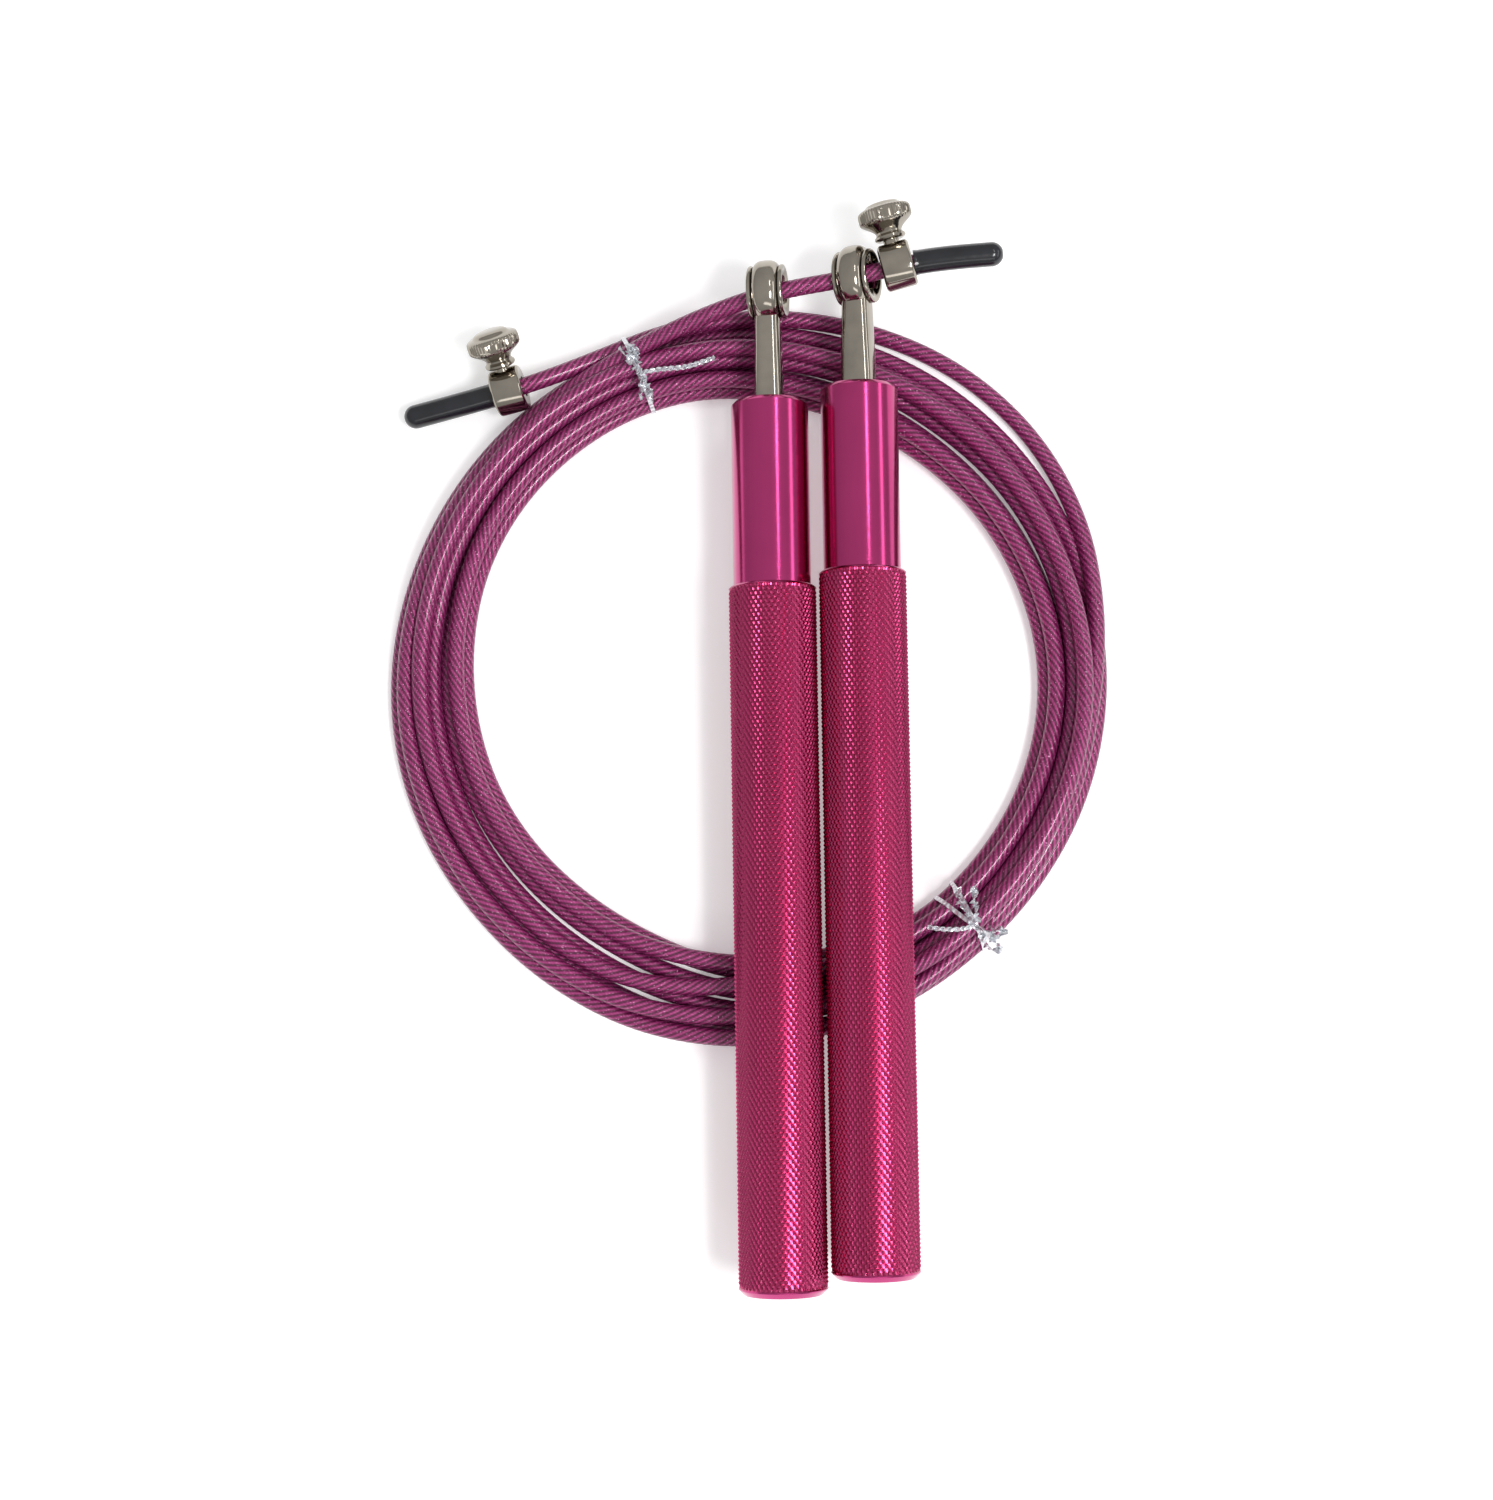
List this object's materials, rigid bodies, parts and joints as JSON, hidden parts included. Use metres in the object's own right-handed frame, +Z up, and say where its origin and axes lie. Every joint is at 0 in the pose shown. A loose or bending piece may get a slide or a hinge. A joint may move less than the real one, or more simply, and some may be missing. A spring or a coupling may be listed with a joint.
{
  "type": "jump rope",
  "caption": "Coiled speed jump rope: knurled aluminium handles on ball-bearing swivels, threaded on a coated wire cable with screw locks.",
  "frame": {"origin": "midway between the two handles' axes, halfway along the pair", "axes": "+Y along the handles towards their eyes, +X from the left handle to the right handle, +Z up from the surface the coil lies on"},
  "size_m": [0.1294, 0.1903, 0.0214],
  "materials": {
    "anodised_aluminium": "satin magenta anodised, grip knurled",
    "cable_coat": "glossy translucent magenta coat over twisted steel strands",
    "nickel_plate": "polished nickel plate",
    "bearing_steel": "ground",
    "plain_steel": "satin",
    "black_vinyl": "glossy dipped vinyl",
    "tie_foil": "crinkled silver foil"
  },
  "bodies": {
    "rope": {"cable_coil": "cable_coat", "cable_lead": "cable_coat", "cable_tail": "cable_coat", "upper_twist_tie": "tie_foil", "lower_twist_tie": "tie_foil", "left_collar": "nickel_plate", "right_collar": "nickel_plate", "left_end_cap": "black_vinyl", "right_end_cap": "black_vinyl"},
    "left_swivel": {"left_shaft": "nickel_plate", "left_eye_bush": "nickel_plate", "left_front_inner_ring": "bearing_steel", "left_rear_inner_ring": "bearing_steel", "left_bearing_spacer": "plain_steel", "left_lock_nut": "plain_steel"},
    "left_ball_sets": {"left_front_balls": "bearing_steel", "left_rear_balls": "bearing_steel", "left_front_cage": "bearing_steel", "left_rear_cage": "bearing_steel"},
    "left_handle": {"left_handle_tube": "anodised_aluminium", "left_end_plug": "anodised_aluminium", "left_front_outer_ring": "bearing_steel", "left_rear_outer_ring": "bearing_steel", "left_front_shields": "bearing_steel", "left_rear_shields": "bearing_steel", "left_circlip": "plain_steel"},
    "left_lock_screw": {"left_thumb_screw": "nickel_plate"},
    "right_swivel": {"right_shaft": "nickel_plate", "right_eye_bush": "nickel_plate", "right_front_inner_ring": "bearing_steel", "right_rear_inner_ring": "bearing_steel", "right_bearing_spacer": "plain_steel", "right_lock_nut": "plain_steel"},
    "right_ball_sets": {"right_front_balls": "bearing_steel", "right_rear_balls": "bearing_steel", "right_front_cage": "bearing_steel", "right_rear_cage": "bearing_steel"},
    "right_handle": {"right_handle_tube": "anodised_aluminium", "right_end_plug": "anodised_aluminium", "right_front_outer_ring": "bearing_steel", "right_rear_outer_ring": "bearing_steel", "right_front_shields": "bearing_steel", "right_rear_shields": "bearing_steel", "right_circlip": "plain_steel"},
    "right_lock_screw": {"right_thumb_screw": "nickel_plate"}
  },
  "joints": [
    {"name": "left_eye_swing", "type": "hinge", "parent": "rope", "child": "left_swivel", "pos_m": [-0.0079, 0.08315, 0], "axis": [-0.9702, -0.217, -0.108], "range_deg": [0, 120]},
    {"name": "left_handle_spin", "type": "hinge", "parent": "left_swivel", "child": "left_handle", "pos_m": [-0.0079, 0.08315, 0], "axis": [0, 1, 0], "continuous": true},
    {"name": "left_ball_orbit", "type": "hinge", "parent": "left_swivel", "child": "left_ball_sets", "pos_m": [-0.0079, 0.08315, 0], "axis": [0, 1, 0], "continuous": true},
    {"name": "left_screw_turn", "type": "hinge", "parent": "rope", "child": "left_lock_screw", "pos_m": [-0.05447, 0.06807, -0.0078], "axis": [-0.2707, 0.8426, 0.4656], "range_deg": [0, 720]},
    {"name": "right_eye_swing", "type": "hinge", "parent": "rope", "child": "right_swivel", "pos_m": [0.0079, 0.08565, 0], "axis": [-0.979, -0.189, -0.077], "range_deg": [0, 120]},
    {"name": "right_handle_spin", "type": "hinge", "parent": "right_swivel", "child": "right_handle", "pos_m": [0.0079, 0.08565, 0], "axis": [0, 1, 0], "continuous": true},
    {"name": "right_ball_orbit", "type": "hinge", "parent": "right_swivel", "child": "right_ball_sets", "pos_m": [0.0079, 0.08565, 0], "axis": [0, 1, 0], "continuous": true},
    {"name": "right_screw_turn", "type": "hinge", "parent": "rope", "child": "right_lock_screw", "pos_m": [0.01512, 0.08731, 0.00116], "axis": [-0.2424, 0.9604, 0.1375], "range_deg": [0, 720]}
  ],
  "couplings": [
    {"joint": "left_ball_orbit", "follows": "left_handle_spin", "ratio": 0.625},
    {"joint": "right_ball_orbit", "follows": "right_handle_spin", "ratio": 0.625}
  ]
}
